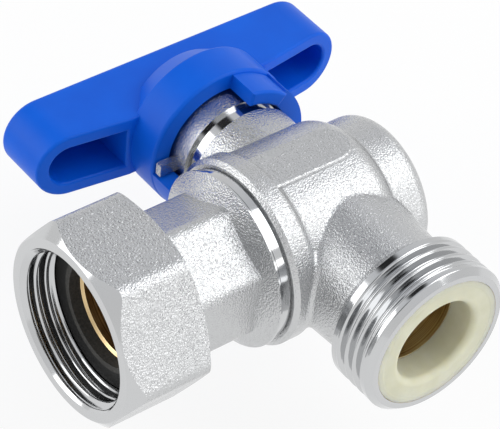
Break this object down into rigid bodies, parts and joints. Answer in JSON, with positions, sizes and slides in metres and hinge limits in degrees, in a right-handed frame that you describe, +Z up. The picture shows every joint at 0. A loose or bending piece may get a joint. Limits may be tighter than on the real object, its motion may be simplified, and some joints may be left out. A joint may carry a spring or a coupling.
{
  "type": "angle ball valve",
  "caption": "Plated brass angle ball valve with a captive hexagon nut at the inlet, a male pipe thread at the outlet and a blue wing handle that works an L-way ball through a quarter turn.",
  "frame": {"origin": "on the inlet axis, at the inner end of the nut's thread", "axes": "+X along the inlet into the valve, +Y along the stem to the handle, +Z up, on the side of the flat pad"},
  "size_m": [0.0746, 0.0728, 0.031],
  "materials": {
    "plated_brass": "chrome plate, blasted and grainy, with bright turned bands, threads and end faces",
    "polished_plate": "chrome plate, polished",
    "bare_brass": "turned",
    "spring_steel": "drawn wire",
    "zinc_steel": "zinc plate",
    "black_rubber": "matt",
    "white_seal_plastic": "turned, waxy",
    "blue_plastic": "moulded, half gloss",
    "cream_plastic": "moulded, satin"
  },
  "bodies": {
    "valve": {"valve_body": "plated_brass", "inlet_tailpiece": "plated_brass", "nut_retaining_ring": "spring_steel", "inlet_gasket": "black_rubber", "inlet_seat": "white_seal_plastic", "blind_seat": "white_seal_plastic", "stem_thrust_washer": "white_seal_plastic", "outlet_insert": "cream_plastic"},
    "turning_set": {"handle": "blue_plastic", "handle_screw": "zinc_steel", "stem": "bare_brass", "stem_o_ring_lower": "black_rubber", "stem_o_ring_upper": "black_rubber", "ball": "polished_plate"},
    "nut": {"union_nut": "plated_brass"}
  },
  "joints": [
    {"name": "handle_turn", "type": "hinge", "parent": "valve", "child": "turning_set", "pos_m": [0.0392, 0, 0], "axis": [0, -1, 0], "range_deg": [0, 90]},
    {"name": "nut_spin", "type": "hinge", "parent": "valve", "child": "nut", "pos_m": [0, 0, 0], "axis": [1, 0, 0], "continuous": true}
  ]
}
